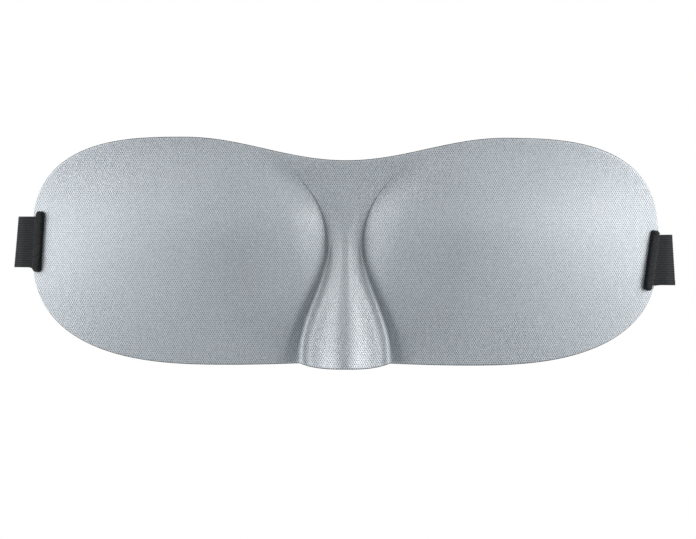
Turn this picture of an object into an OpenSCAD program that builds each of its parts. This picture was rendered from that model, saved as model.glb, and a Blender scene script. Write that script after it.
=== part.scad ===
// Contoured sleep eye mask: a heat-moulded shell of face fabric, foam and lining, a soft nose
// flap, and an elastic head strap with a slider and a ring. Millimetres. +Z is up, +X is to the
// viewer's right, and the outside of the mask faces -Y. The origin is on the skin side of the
// lining, at the middle of the nose bridge, where the mask rests on the face.

/* [Shell outline] */
// Width of the moulded shell, from end to end
shell_w = 234; // [190:1:290]
// Height of the upper edge above the middle line at the brows
brow_h = 42.9; // [35:0.1:52]
// Distance from the middle to the highest point of each brow
brow_x = 60; // [48:1:72]
// Height of the upper edge above the middle line over the nose
dip_h = 34.3; // [28:0.1:42]
// Depth of the lower edge below the middle line under the cheeks
cheek_h = 41.7; // [35:0.1:52]
// Distance from the middle to the lowest point of each cheek
cheek_x = 45; // [36:1:54]
// How far the lower edge rises from the cheeks towards the nose
cheek_lift = 0.9; // [0:0.1:3]
// How far the nose panel hangs below the lower edge beside it
nose_drop = 2.4; // [0:0.1:4]
// Height of the shell's outermost point above the middle line
end_z = 3; // [-4:0.5:8]

/* [Shell form] */
// Radius that the shell wraps round the face with
wrap_r = 310; // [260:5:500]
// Height of each eye cup above the wrapped sheet
cup_h = 11; // [6:0.5:16]
// Distance from the middle to the top of each eye cup
cup_x = 46; // [38:1:54]
// Height of the top of each eye cup above the middle line
cup_z = 6; // [-4:1:10]
// Height of the nose ridge above its panel at the lower edge
nose_h = 7.5; // [4:0.5:12]
// Half width of the nose panel at its narrowest
bridge_x = 6.6; // [5:0.1:9]
// Half width of the nose panel near the lower edge
panel_x = 16.6; // [12:0.2:20]
// How far the lip of the nose panel stands above the cup beside it
lip_step = 2.5; // [0:0.1:4]

/* [Layers] */
// Thickness of the face fabric
cover_t = 0.5; // [0.4:0.05:0.8]
// Thickness of the foam in the middle of the shell
foam_t = 2.8; // [2:0.1:5]
// Thickness of the foam where the edge is pressed
foam_edge_t = 0.6; // [0.4:0.05:1]
// Thickness of the lining
lining_t = 0.5; // [0.4:0.05:0.8]
// Width of the band in which the foam is pressed down to the edge
press_w = 7; // [4:0.5:10]

/* [Nose flap] */
// Half width of the flap
flap_x = 21; // [16:1:26]
// Height of the flap's glued edge above the middle line
flap_top = 6; // [0:1:12]
// Depth of the flap's free edge below the middle line
flap_low = 37; // [28:1:44]
// Thickness of the flap's foam
flap_foam_t = 1.6; // [1:0.1:2.5]
// Thickness of the flap's facing
flap_facing_t = 0.5; // [0.4:0.05:0.8]
// Gap between the flap and the lining at the glued edge
flap_gap = 1; // [0.4:0.1:1.4]
// How far the flap's free edge stands off the lining
flap_stand = 5; // [2:0.5:8]

/* [Strap] */
// Width of the elastic
strap_w = 19; // [15:0.5:25]
// Thickness of the elastic
strap_t = 1.4; // [1:0.1:2]
// How far each strap laps over the shell's end
lap = 3.4; // [2:0.2:6]
// How far each strap reaches past the shell's end before it turns back
stub = 6.2; // [4:0.2:9]
// Depth from the origin to the middle of the strap's outer layer behind the head
back_y = 98; // [80:1:130]
// Half length of the strap's straight stretch behind the head
back_x = 74; // [64:1:86]
// Height of the long strap's end above the middle line
left_z = 3.7; // [-5:0.1:5]
// Height of the short strap's end above the middle line
right_z = -2.2; // [-5:0.1:5]
// Lean of the long strap's sewn end, in degrees
left_lean = 4; // [-10:1:10]
// Lean of the short strap's sewn end, in degrees
right_lean = 9; // [-10:1:10]
// Lean of the long strap where it turns back, in degrees
left_turn_lean = 5; // [-8:1:8]
// Lean of the short strap where it turns back, in degrees
right_turn_lean = -4; // [-8:1:8]
// Length of each lead, from the sewn end backwards
lead_l = 26; // [20:1:50]
// Gap between neighbouring stretches of one strap where a joint passes
butt_gap = 0.3; // [0.2:0.1:0.6]

/* [Tacks] */
// Width of the zigzag tack on each shell end
tack_w = 3.8; // [3:0.2:6]
// How far a tack runs past each edge of the strap
tack_over = 2; // [0:0.2:3]
// Height of the tack's threads above the strap
tack_t = 0.7; // [0.4:0.1:1.2]
// Width of the small tacks beside the ring and the slider
bar_tack_w = 2.4; // [1.6:0.2:4]

/* [Slider and ring] */
// Diameter of the ring's wire
ring_d = 2.4; // [2:0.1:3.2]
// Room that the long strap's bend leaves for the ring's inner bar to move, from front to back
ring_play = 2.4; // [0.6:0.1:3]
// Distance between the middles of the ring's two bars
ring_pitch = 8; // [6:0.5:12]
// Distance from the middle to the ring's inner bar
ring_x = 46; // [36:1:54]
// Clearance between the elastic and any plastic
fit_gap = 0.25; // [0.2:0.05:0.4]
// Thickness of the slider's bars
slider_bar_t = 1.6; // [1.2:0.1:2.2]
// Width of the slider's bars, along the strap
slider_bar_w = 2.6; // [2:0.1:3.5]
// Distance between the middles of the slider's two outer bars
slider_pitch = 14; // [12:0.5:18]
// Height of the rails above and below the strap
rail_h = 2.4; // [2:0.1:3.5]
// Distance from the middle to the slider, negative towards the long strap's side
slider_x = -18; // [-24:1:-8]

/* [Hidden] */

half_w = shell_w / 2;
brow_power = 2.8;      // roundness of the shell's upper corners
cheek_power = 2.65;    // roundness of the shell's lower corners
cut_share = 0.9975;    // the ends are cut straight just inside the full round
side_n = 18;           // grid columns from the nose panel to each end
nose_n = 7;            // grid columns across half of the nose panel
lip_w = 1.1;           // width of the step down from the panel's lip to the cup
row_n = 16;            // grid rows between the lower and upper edges
drop_w = 5;            // width over which the nose panel's edge comes down to its full drop
col_n = nose_n + side_n;

function clamp(t) = min(1, max(0, t));
function smooth(t) = let(u = clamp(t)) u * u * (3 - 2 * u);
function lerp(a, b, t) = a + (b - a) * t;
function hill(t) = (1 + cos(180 * clamp(t))) / 2;

// ---------- shell outline ----------
function corner(t, power) = pow(max(0, 1 - pow(clamp(t), power)), 1 / power);
function upper(x) = abs(x) < brow_x
    ? lerp(brow_h, dip_h, hill(abs(x) / brow_x))
    : end_z + (brow_h - end_z) * corner((abs(x) - brow_x) / (half_w - brow_x), brow_power);
function lower(x) = abs(x) < cheek_x
    ? -cheek_h + cheek_lift * hill(abs(x) / cheek_x) - nose_drop * smooth((panel_x - abs(x)) / drop_w)
    : end_z - (cheek_h + end_z) * corner((abs(x) - cheek_x) / (half_w - cheek_x), cheek_power);

// ---------- shell form: how far the face stands forward at a place ----------
waist_z = 3;           // where the nose panel is narrowest
crease_top = 28;       // where the creases beside the nose panel fade out
crease_top_x = 17.3;   // half width between the creases there
crease_max_x = 34;     // half width that their line keeps to above that
crease_power = 2.2;    // how suddenly the creases turn outwards above the waist
panel_foot = 3;        // height above the lower edge at which the panel stops widening
brow_fall = 0.9;       // share of a cup's height that is lost from its top to the brow
low_power = 1.4;       // how late a cup falls away towards the lower edge
inner_power = 1.6;     // how late it falls away towards the nose
outer_power = 1.7;     // how late it falls away towards the shell's end
top_round = 0.15;      // how far the cup's top is rounded, as a share of each fall
cup_inner = 8;         // shortest distance from a cup's top to its inner foot
lip_l = 30;            // length over which the lip grows out from the waist
ridge_in = 2;          // distance below the creases' top at which the nose ridge starts
ridge_power = 1.3;     // how suddenly the nose ridge rises
bell_power = 4;        // how narrow the nose ridge is
function crease(z) = z < waist_z
    ? lerp(panel_x, bridge_x, hill((waist_z - z) / (cheek_h - panel_foot + waist_z)))
    : min(crease_max_x, lerp(bridge_x, crease_top_x,
        pow((z - waist_z) / (crease_top - waist_z), crease_power)));
function power_round(t, power) = pow(t * t + top_round * top_round, power / 2) - pow(top_round, power);
function fall(t, power) = power_round(t, power) / power_round(1, power);
function cup_rise(z) = z < cup_z
    ? 1 - fall(clamp((cup_z - z) / (cheek_h + cup_z)), low_power)
    : 1 - brow_fall * (1 - hill((z - cup_z) / (brow_h - cup_z)));
function cup_spread(x, z) = abs(x) > cup_x
    ? 1 - fall((abs(x) - cup_x) / (half_w - cup_x), outer_power)
    : 1 - fall((cup_x - abs(x)) / (cup_x - min(crease(z), cup_x - cup_inner)), inner_power);
function cup(x, z) = cup_h * cup_rise(z) * cup_spread(x, z);
function bell(t) = let(tail = exp(-bell_power)) (exp(-bell_power * t * t) - tail) / (1 - tail);
function nose(x, z) = cup(crease(z), z)
    + lip_step * smooth((waist_z - z) / lip_l)
    + nose_h * pow(clamp((crease_top - ridge_in - z) / (crease_top + cheek_h)), ridge_power)
        * bell(abs(x) / crease(z));
function wrap(x) = wrap_r - sqrt(wrap_r * wrap_r - x * x);
function forward(x, z) = (abs(x) < crease(z) ? nose(x, z) : cup(x, z)) - wrap(x);

// ---------- shell layers ----------
function edge_distance(x, z) = min(upper(x) - z, z - lower(x), half_w - abs(x));
function foam_at(x, z) = lerp(foam_edge_t, foam_t, smooth(edge_distance(x, z) / press_w));
function thickness(x, z) = cover_t + foam_at(x, z) + lining_t;
face_y = forward(0, 0) - thickness(0, 0);
function outer_y(x, z) = face_y - forward(x, z);
function skin_y(x, z) = outer_y(x, z) + thickness(x, z);

// The columns inside the nose panel follow its creases; the first one outside lies past the lip
function column_x(i, z) = abs(i) <= nose_n
    ? i / nose_n * crease(z)
    : sign(i) * lerp(crease(z) + lip_w, cut_share * half_w,
        1 - pow(1 - (abs(i) - nose_n - 1) / (side_n - 1), 1.5));
function row_z(x, j) = let(w = 2 * j / row_n - 1, v = lerp(w, sin(90 * w), 0.6))
    lerp(lower(x), upper(x), (v + 1) / 2);
// A point's column and row each depend on the other, so they are settled in a few rounds
function settle(i, j, z, rounds) = let(x = column_x(i, z))
    rounds == 0 ? [x, row_z(x, j)] : settle(i, j, row_z(x, j), rounds - 1);
shell_grid = [for (i = [-col_n : col_n]) [for (j = [0 : row_n])
    let(p = settle(i, j, 0, 3), f = abs(i) <= nose_n ? nose(p[0], p[1]) : cup(p[0], p[1]))
    [p[0], face_y - f + wrap(p[0]), p[1], foam_at(p[0], p[1])]]];

// A closed sheet between a front and a back grid of points, both [column][row]
module sheet(front, back) {
    cols = len(front);
    rows = len(front[0]);
    n = cols * rows;
    function at(i, j) = i * rows + j;
    rim = concat(
        [for (i = [0 : cols - 1]) at(i, 0)],
        [for (j = [1 : rows - 1]) at(cols - 1, j)],
        [for (i = [cols - 2 : -1 : 0]) at(i, rows - 1)],
        [for (j = [rows - 2 : -1 : 1]) at(0, j)]);
    polyhedron(
        points = concat([for (c = front) for (p = c) p], [for (c = back) for (p = c) p]),
        faces = concat(
            [for (i = [0 : cols - 2]) for (j = [0 : rows - 2]) each [
                [at(i, j), at(i, j + 1), at(i + 1, j + 1)],
                [at(i, j), at(i + 1, j + 1), at(i + 1, j)],
                [n + at(i, j), n + at(i + 1, j + 1), n + at(i, j + 1)],
                [n + at(i, j), n + at(i + 1, j), n + at(i + 1, j + 1)]]],
            [for (k = [0 : len(rim) - 1]) let(a = rim[k], b = rim[(k + 1) % len(rim)]) each [
                [a, b, n + b], [a, n + b, n + a]]]));
}

// The shell's grid of points at a depth behind its face: a list of [fixed part, share of the foam]
function shell_layer(fixed, foam_share) = [for (c = shell_grid) [for (p = c)
    [p[0], p[1] + fixed + foam_share * p[3], p[2]]]];

module outer_cover()
    color([0.66, 0.69, 0.71]) sheet(shell_layer(0, 0), shell_layer(cover_t, 0));

module foam_core()
    color([0.24, 0.25, 0.26]) sheet(shell_layer(cover_t, 0), shell_layer(cover_t, 1));

module lining()
    color([0.09, 0.09, 0.10]) sheet(shell_layer(cover_t, 1), shell_layer(cover_t + lining_t, 1));

// ---------- nose flap ----------
flap_cols = 12;
flap_rows = 9;
flap_knee = 9;         // half width inside which the flap spans the nose ridge instead of lining it
flap_lean = 0.15;      // slope by which the flap comes forward beyond the creases
stand_power = 1.2;     // how late the flap comes away from the lining
flap_neck = 0.72;      // width of the flap's glued edge, as a share of its full width
flap_round = 7;        // how much higher the flap's free edge is at its corners
round_power = 2.5;     // how square those corners are
function flap_drop(z) = clamp((flap_top - z) / (flap_top + flap_low));
function flap_front_y(x, z) = let(s = max(abs(x), flap_knee, crease(z) + lip_w))
    max(skin_y(s, z), skin_y(crease(z) + lip_w, z) - flap_lean * max(0, abs(x) - crease(z)))
        + flap_gap + flap_stand * pow(flap_drop(z), stand_power);
function flap_half(z) = lerp(flap_neck, 1, smooth(1.6 * flap_drop(z))) * flap_x;
function flap_low_z(x) = -flap_low + flap_round * pow(abs(x) / flap_x, round_power);
function flap_layer(depth) = [for (i = [-flap_cols : 2 : flap_cols]) [for (j = [0 : flap_rows])
    let(u = i / flap_cols, t = j / flap_rows,
        z = lerp(flap_low_z(u * flap_x), flap_top, t), x = u * flap_half(z))
    [x, flap_front_y(x, z) + depth, z]]];

module nose_flap_foam()
    color([0.20, 0.20, 0.21]) sheet(flap_layer(0), flap_layer(flap_foam_t));

module nose_flap_facing()
    color([0.09, 0.09, 0.10])
        sheet(flap_layer(flap_foam_t), flap_layer(flap_foam_t + flap_facing_t));

// ---------- strap route, in plan, on the +X side ----------
edge_in = 0.2;         // the shell's end is measured this far inside its outline
lap_gap = 0.2;        // between the elastic and the face fabric at the lap
turn_room = 4;         // room that the turn takes, outwards and then backwards
turn_l = 9;            // depth over which the strap turns back
turn_pull = 3.2;       // how long the turn keeps to the lap's direction
side_pull = 37;        // how long the side keeps to the turn's direction
back_pull = 26;        // how long the side runs level with the stretch behind the head
lap_x = half_w - lap;
end_slope = atan((outer_y(half_w - edge_in, end_z) - outer_y(lap_x, end_z)) / (lap - edge_in));
end_dir = [cos(end_slope), sin(end_slope)];
lap_y = outer_y(lap_x, end_z) - (strap_t / 2 + lap_gap) / cos(end_slope);
turn_x = half_w + stub - strap_t / 2;      // outermost place of the strap's middle
stub_end = [lap_x, lap_y] + (stub + lap - turn_room) / cos(end_slope) * end_dir;
lead_y = lap_y + lead_l;                   // where the lead hands over to the side
function bezier(p, t) = pow(1 - t, 3) * p[0] + 3 * pow(1 - t, 2) * t * p[1]
    + 3 * (1 - t) * t * t * p[2] + pow(t, 3) * p[3];
turn_end = [turn_x, stub_end[1] + turn_l];
turn_curve = [stub_end, stub_end + turn_pull * end_dir, [turn_x, stub_end[1] + turn_room], turn_end];
side_curve = [turn_end, turn_end + [0, side_pull], [back_x + back_pull, back_y], [back_x, back_y]];
lap_n = 3;             // steps along the lap
turn_n = 8;            // steps round the turn
route_n = 24;          // steps along the side
cut_room = 0.7;        // steps this near to a cut are left out
side_plan = [for (k = [0 : route_n]) bezier(side_curve, k / route_n)];
lead_plan = concat(
    [for (k = [0 : lap_n - 1]) lerp([lap_x, lap_y], stub_end, k / lap_n)],
    [for (k = [0 : turn_n - 1]) bezier(turn_curve, k / turn_n)]);

// The strap's middle line keeps the sewn end's height round the turn, then falls to the level of
// the stretch behind the head
back_z = -5;
level_share = 0.45;    // share of the depth over which it keeps that height
level_y = lerp(lap_y, back_y, level_share);
function strap_z(y, z0) = lerp(z0, back_z, smooth((y - level_y) / (back_y - level_y)));

// One station of a band: [middle point, tangent, lean, turn lean]. A sewn end leans along its own
// plane. That fades into the turn's lean, which fades out where the lead ends
function stations(line, z0, lean, turn_lean) = [for (k = [0 : len(line) - 1])
    let(a = line[max(k - 1, 0)], b = line[min(k + 1, len(line) - 1)], d = (b - a) / norm(b - a),
        y = line[k][1], turned = smooth((y - lap_y) / (turn_end[1] - lap_y)),
        gone = smooth((y - turn_end[1]) / (lead_y - turn_end[1])))
    [[line[k][0], y, strap_z(y, z0)], d, lean * (1 - turned), turn_lean * turned * (1 - gone)]];

// A flat band swept along stations, on edge, mirrored to the -X side if side is -1
module band(at, side = 1, w = strap_w, t = strap_t) {
    n = len(at);
    corners = [for (s = at)
        let(across = t / 2 * [-s[1][1], s[1][0], 0],
            up = w / 2 * [side * (sin(s[2]) * s[1][0] + sin(s[3])), side * sin(s[2]) * s[1][1],
                cos(s[2]) * cos(s[3])])
        each [s[0] + across + up, s[0] - across + up, s[0] - across - up, s[0] + across - up]];
    rings = [for (k = [0 : n - 2]) for (c = [0 : 3])
        let(a = 4 * k + c, b = 4 * k + (c + 1) % 4) each [[a, b, b + 4], [a, b + 4, a + 4]]];
    caps = [[0, 2, 1], [0, 3, 2],
        [4 * n - 4, 4 * n - 3, 4 * n - 2], [4 * n - 4, 4 * n - 2, 4 * n - 1]];
    flip = side < 0;
    polyhedron(
        points = [for (p = corners) [side * p[0], p[1], p[2]]],
        faces = [for (f = concat(rings, caps)) flip ? f : [f[2], f[1], f[0]]]);
}

// The part of a plan line before or after a depth, cut there
function cut_at(line, y) = [for (k = [0 : len(line) - 2]) if (line[k][1] <= y && line[k + 1][1] > y)
    lerp(line[k], line[k + 1], (y - line[k][1]) / (line[k + 1][1] - line[k][1]))];
lead_line = concat(lead_plan,
    [for (p = side_plan) if (p[1] < lead_y - cut_room) p],
    cut_at(side_plan, lead_y));
side_line = concat(cut_at(side_plan, lead_y + butt_gap),
    [for (p = side_plan) if (p[1] > lead_y + butt_gap + cut_room && p[0] > back_x + butt_gap) p],
    [[back_x + butt_gap, back_y]]);

elastic = [0.13, 0.14, 0.15];
module long_strap_lead() color(elastic)
    band(stations(lead_line, left_z, left_lean, left_turn_lean), -1);
module long_strap_side() color(elastic) band(stations(side_line, left_z, 0, 0), -1);
module short_strap_lead() color(elastic)
    band(stations(lead_line, right_z, right_lean, right_turn_lean));
module short_strap_side() color(elastic) band(stations(side_line, right_z, 0, 0));

// ---------- the two layers behind the head, the ring and the slider ----------
bend_gap = ring_d + ring_play + strap_t;         // between the middles of the two layers at the ring
bend_y = back_y - bend_gap;
ring_y = back_y - bend_gap / 2;
outer_ring_x = ring_x + ring_pitch;
wrap_gap = 0.1;        // between the elastic and a bar it is sewn round
layer_gap = 0.3;       // between the strap and the loop that slides along it
loop_r = strap_t / 2 + wrap_gap + slider_bar_t / 2;      // middle of the elastic round the slider's bar
short_r = strap_t / 2 + fit_gap + ring_d / 2;            // middle of the short strap round the ring
bar_y = back_y - strap_t - layer_gap - loop_r;           // middle of the slider's centre bar
inner_y = bar_y - loop_r;                                // middle of the return beside the slider
end_y = inner_y + strap_t + wrap_gap;                    // middle of the long strap's sewn end
short_end_y = back_y - strap_t - wrap_gap;               // middle of the short strap's sewn end
end_reach = 9;         // how far the long strap's sewn end comes back
end_run = 2.5;         // length of its flat parts, beside the bar and under the tack
seam_x = 13;           // where the end loop meets the return
turn_back = 4;         // length of the return beside the ring
rest_l = 34;           // clear flat length between the strap's side and the slider
loop_near = 2.5;       // the short strap leaves the ring this far from its bar
loop_far = 9;          // its two layers meet this far from the bar
loop_end = 14;         // its sewn end is this far from the bar

// Stations of a level band from plan points
function level(line) = [for (k = [0 : len(line) - 1])
    let(a = line[max(k - 1, 0)], b = line[min(k + 1, len(line) - 1)])
    [[line[k][0], line[k][1], back_z], (b - a) / norm(b - a), 0, 0]];
function arc(cx, cy, r, from, to, n = 10) = [for (k = [0 : n])
    let(a = lerp(from, to, k / n)) [cx + r * cos(a), cy + r * sin(a)]];

module long_strap_back()
    color(elastic) band(level(concat(
        [[-back_x, back_y], [-back_x + rest_l, back_y], [0, back_y]],
        arc(ring_x, ring_y, bend_gap / 2, 90, -90),
        [[ring_x - turn_back, bend_y]])));

module long_strap_return()
    color(elastic) band(level([
        [ring_x - turn_back - butt_gap, bend_y],
        [(ring_x + slider_x) / 2, (bend_y + inner_y) / 2],
        [slider_x + seam_x + butt_gap, inner_y]]));

module long_strap_end()
    color(elastic) translate([slider_x, 0, 0]) band(level(concat(
        [[seam_x, inner_y]],
        arc(0, bar_y, loop_r, -90, -270, 12),
        [[end_run, bar_y + loop_r], [end_reach - end_run, end_y], [end_reach, end_y]])));

module short_strap_loop()
    color(elastic) band(level(concat(
        [[back_x, back_y], [outer_ring_x + loop_far, back_y], [outer_ring_x + loop_near, ring_y + short_r]],
        arc(outer_ring_x, ring_y, short_r, 90, 270),
        [[outer_ring_x + loop_near, ring_y - short_r],
            [outer_ring_x + loop_far, short_end_y], [outer_ring_x + loop_end, short_end_y]])));

// Ring: two upright bars and two level bars of one round wire, with round corners
module ring() {
    bar = strap_w + 2 * fit_gap + ring_d / 2;    // height between the corners' middles
    corner_r = ring_d / 2 + 0.5;
    color([0.06, 0.06, 0.065]) translate([ring_x + ring_pitch / 2, ring_y, back_z]) {
        for (s = [-1, 1]) {
            translate([s * ring_pitch / 2, 0, -bar / 2]) cylinder(d = ring_d, h = bar, $fn = 32);
            translate([-ring_pitch / 2 + corner_r, 0, s * (bar / 2 + corner_r)])
                rotate([0, 90, 0]) cylinder(d = ring_d, h = ring_pitch - 2 * corner_r, $fn = 32);
            for (q = [-1, 1])
                translate([q * (ring_pitch / 2 - corner_r), 0, s * bar / 2])
                    rotate([90, 0, 0]) rotate([0, 0, s > 0 ? (q > 0 ? 0 : 90) : (q > 0 ? 270 : 180)])
                        rotate_extrude(angle = 90, $fn = 32)
                            translate([corner_r, 0]) circle(d = ring_d, $fn = 32);
        }
    }
}

// Slider: two outer bars over the strap, a centre bar under it, and a rail along each edge
module slider() {
    bar_h = strap_w + 2 * fit_gap;
    outer_bar_y = back_y + strap_t / 2 + fit_gap;
    low_y = bar_y - slider_bar_t / 2;
    depth = outer_bar_y + slider_bar_t - low_y;
    round_r = 0.8;
    sink = 0.1;    // how far each bar's ends go into the rails
    color([0.06, 0.06, 0.065]) translate([slider_x, 0, back_z]) {
        for (s = [-1, 1]) {
            translate([s * slider_pitch / 2 - slider_bar_w / 2, outer_bar_y, -bar_h / 2 - sink])
                cube([slider_bar_w, slider_bar_t, bar_h + 2 * sink]);
            translate([0, low_y + depth, s * (bar_h / 2 + rail_h / 2)])
                rotate([90, 0, 0]) linear_extrude(depth) rail(round_r);
        }
        translate([0, bar_y, -bar_h / 2 - sink]) cylinder(d = slider_bar_t, h = bar_h + 2 * sink, $fn = 32);
    }
}

// Outline of a slider rail: a bar with round ends
module rail(r) {
    l = slider_pitch + slider_bar_w;
    square([l - 2 * r, rail_h], center = true);
    square([l, rail_h - 2 * r], center = true);
    for (x = [-1, 1], y = [-1, 1])
        translate([x * (l / 2 - r), y * (rail_h / 2 - r)]) circle(r = r, $fn = 24);
}

// ---------- tacks ----------
thread = [0.05, 0.05, 0.055];
// A zigzag tack over a strap's lap: it covers the lap and comes down to the shell at both ends
module end_tack(side, z0, lean) {
    h = strap_w + 2 * tack_over;
    inner = 0.6;       // how far it reaches past the strap's end, towards the nose
    inner_gap = 0.15;  // between its inner wall and the strap's end
    foot = 0.35;       // how far its feet go down past the strap, into the face fabric
    top_gap = 0.08;    // between its threads and the strap's face
    side_gap = 0.35;   // between its feet and the strap's edges
    color(thread) translate([side * lap_x, lap_y, strap_z(lap_y, z0)])
        mirror([side < 0 ? 1 : 0, 0, 0]) rotate([0, 0, end_slope]) rotate([0, lean * side, 0])
            difference() {
                translate([-inner, -strap_t / 2 - tack_t, -h / 2])
                    cube([tack_w, strap_t + tack_t + foot, h]);
                translate([-inner_gap, -strap_t / 2 - top_gap, -strap_w / 2 - side_gap])
                    cube([2 * tack_w, 2 * strap_t, strap_w + 2 * side_gap]);
            }
}
module left_tack() end_tack(-1, left_z, left_lean);
module right_tack() end_tack(1, right_z, right_lean);

// A small bar tack that holds a turned end to the layer beside it. y is the middle of the elastic
// that it is sewn on.
tack_gap = 0.05;       // between a bar tack and the elastic
tack_short = 1;        // how far a bar tack stops short of each edge of the strap
module bar_tack(x, y)
    color(thread) translate([x, y - strap_t / 2 - tack_gap - tack_t / 2, back_z])
        cube([bar_tack_w, tack_t, strap_w - 2 * tack_short], center = true);
module ring_tack() bar_tack(outer_ring_x + (loop_far + loop_end) / 2, short_end_y);
module slider_tack() bar_tack(slider_x + end_reach - bar_tack_w / 2, inner_y);

outer_cover();
foam_core();
lining();
left_tack();
right_tack();
nose_flap_foam();
nose_flap_facing();
long_strap_lead();
long_strap_side();
long_strap_back();
long_strap_return();
long_strap_end();
short_strap_lead();
short_strap_side();
short_strap_loop();
ring();
ring_tack();
slider();
slider_tack();
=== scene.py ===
"""Looks of a contoured sleep mask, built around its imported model.

Metres throughout, in the model's own frame: +Z is up, +X is to the viewer's right, and the
outside of the mask faces -Y. Forms are worked out in millimetres where a size is written so,
and MM turns them into metres.
"""

import math

import bmesh
import bpy
import numpy as np
from mathutils import Matrix, Vector


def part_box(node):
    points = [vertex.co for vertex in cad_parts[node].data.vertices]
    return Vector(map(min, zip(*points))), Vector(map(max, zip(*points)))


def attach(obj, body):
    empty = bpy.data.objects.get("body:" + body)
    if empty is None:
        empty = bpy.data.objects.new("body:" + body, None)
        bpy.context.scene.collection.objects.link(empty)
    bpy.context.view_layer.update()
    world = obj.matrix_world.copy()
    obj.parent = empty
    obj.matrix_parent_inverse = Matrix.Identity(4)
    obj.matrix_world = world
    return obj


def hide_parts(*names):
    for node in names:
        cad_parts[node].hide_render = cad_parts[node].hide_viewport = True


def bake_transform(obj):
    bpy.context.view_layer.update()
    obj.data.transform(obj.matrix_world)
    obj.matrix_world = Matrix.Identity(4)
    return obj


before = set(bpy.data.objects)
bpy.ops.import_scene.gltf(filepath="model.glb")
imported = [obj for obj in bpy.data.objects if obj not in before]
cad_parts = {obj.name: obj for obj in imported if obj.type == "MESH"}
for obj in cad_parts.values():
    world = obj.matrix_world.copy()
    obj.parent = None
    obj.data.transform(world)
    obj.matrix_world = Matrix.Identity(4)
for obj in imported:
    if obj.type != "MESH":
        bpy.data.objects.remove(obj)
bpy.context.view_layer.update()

MM = 0.001


# ---------------------------------------------------------------- camera, light and floor

def add_camera():
    """A long lens straight in front of the mask, a little below its middle."""
    data = bpy.data.cameras.new("camera")
    data.sensor_width = 36
    data.lens = 400
    camera = bpy.data.objects.new("camera", data)
    bpy.context.scene.collection.objects.link(camera)
    ends_depth = 0.0216
    frame_width = 0.26          # at the depth of the shell's ends
    aside, height = 0.0011, -0.0062
    roll = math.radians(-0.2)
    distance = frame_width * data.lens / data.sensor_width
    camera.location = (aside, ends_depth - distance, height)
    camera.rotation_euler = (math.radians(90), roll, 0)
    bpy.context.scene.camera = camera


def add_area(name, position, width, power):
    """A soft square light that looks at the middle of the mask."""
    data = bpy.data.lights.new(name, "AREA")
    data.shape = "RECTANGLE"
    data.size = data.size_y = width
    data.energy = power
    light = bpy.data.objects.new(name, data)
    light.location = position
    light.rotation_euler = (Vector((0, 0, 0)) - Vector(position)).to_track_quat("-Z", "Y").to_euler()
    bpy.context.scene.collection.objects.link(light)


def add_lights():
    """Softboxes square to each side of the mask and higher up in front, with a weak one in front."""
    add_area("side_left", (-1.24, -0.12, 0), 1.1, 16.5)
    add_area("side_right", (1.24, -0.12, 0), 1.1, 10.5)
    add_area("high_left", (-0.99, -0.27, 0.72), 0.7, 6.2)
    add_area("front_right", (1.16, -0.2, 0.43), 0.7, 10)
    add_area("high_right", (0.99, -0.27, 0.72), 0.7, 1.5)
    add_area("front_fill", (0, -1.1, 0.6), 0.8, 2)


def add_world():
    """A white surround to look at, which lights the mask more weakly than it shows."""
    world = bpy.data.worlds.new("studio")
    world.use_nodes = True
    nodes, links = world.node_tree.nodes, world.node_tree.links
    seen = nodes["Background"]
    seen.inputs["Color"].default_value = (1, 1, 1, 1)
    seen.inputs["Strength"].default_value = 1.0
    lit = nodes.new("ShaderNodeBackground")
    lit.inputs["Color"].default_value = (0.93, 0.965, 1, 1)
    lit.inputs["Strength"].default_value = 0.04
    path = nodes.new("ShaderNodeLightPath")
    mix = nodes.new("ShaderNodeMixShader")
    links.new(path.outputs["Is Camera Ray"], mix.inputs["Fac"])
    links.new(lit.outputs[0], mix.inputs[1])
    links.new(seen.outputs[0], mix.inputs[2])
    links.new(mix.outputs[0], nodes["World Output"].inputs["Surface"])
    bpy.context.scene.world = world
    bpy.context.scene.view_settings.view_transform = "Standard"


def add_floor():
    """A plain pale floor below the mask."""
    floor_z = -0.2
    bpy.ops.mesh.primitive_circle_add(vertices=96, radius=0.75, fill_type="NGON", location=(0, 0, floor_z))
    floor = bpy.context.object
    floor.name = "floor"
    material = bpy.data.materials.new("pale_floor")
    material.use_nodes = True
    shader = material.node_tree.nodes["Principled BSDF"]
    shader.inputs["Base Color"].default_value = (0.62, 0.63, 0.64, 1)
    shader.inputs["Roughness"].default_value = 0.7
    floor.data.materials.append(material)


# ---------------------------------------------------------------- helpers for node trees

def socket(sockets, key):
    """The usable socket with a name or a number."""
    if isinstance(key, int):
        return sockets[key]
    return next(s for s in sockets if s.name == key and s.enabled)


def add(tree, kind, inputs=None, **settings):
    """Adds a node. A socket given as an input is linked, and any other value is set."""
    node = tree.nodes.new(kind)
    for name, value in settings.items():
        setattr(node, name, value)
    for key, value in (inputs or {}).items():
        target = socket(node.inputs, key)
        if isinstance(value, bpy.types.NodeSocket):
            tree.links.new(value, target)
        else:
            target.default_value = value
    return node


def maths(tree, operation, *values):
    """The result of a Math node."""
    return add(tree, "ShaderNodeMath", dict(enumerate(values)), operation=operation).outputs[0]


def times(tree, a, b):
    return maths(tree, "MULTIPLY", a, b)


def divided(tree, a, b):
    return maths(tree, "DIVIDE", a, b)


def plus(tree, a, b):
    return maths(tree, "ADD", a, b)


def minus(tree, a, b):
    return maths(tree, "SUBTRACT", a, b)


def noise(tree, place, scale, detail, **inputs):
    """A noise texture at a place."""
    return add(tree, "ShaderNodeTexNoise", {"Vector": place, "Scale": scale, "Detail": detail, **inputs})


def centred(tree, texture):
    """A texture's value, with nothing in the middle of its range."""
    return minus(tree, texture.outputs[0], 0.5)


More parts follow.
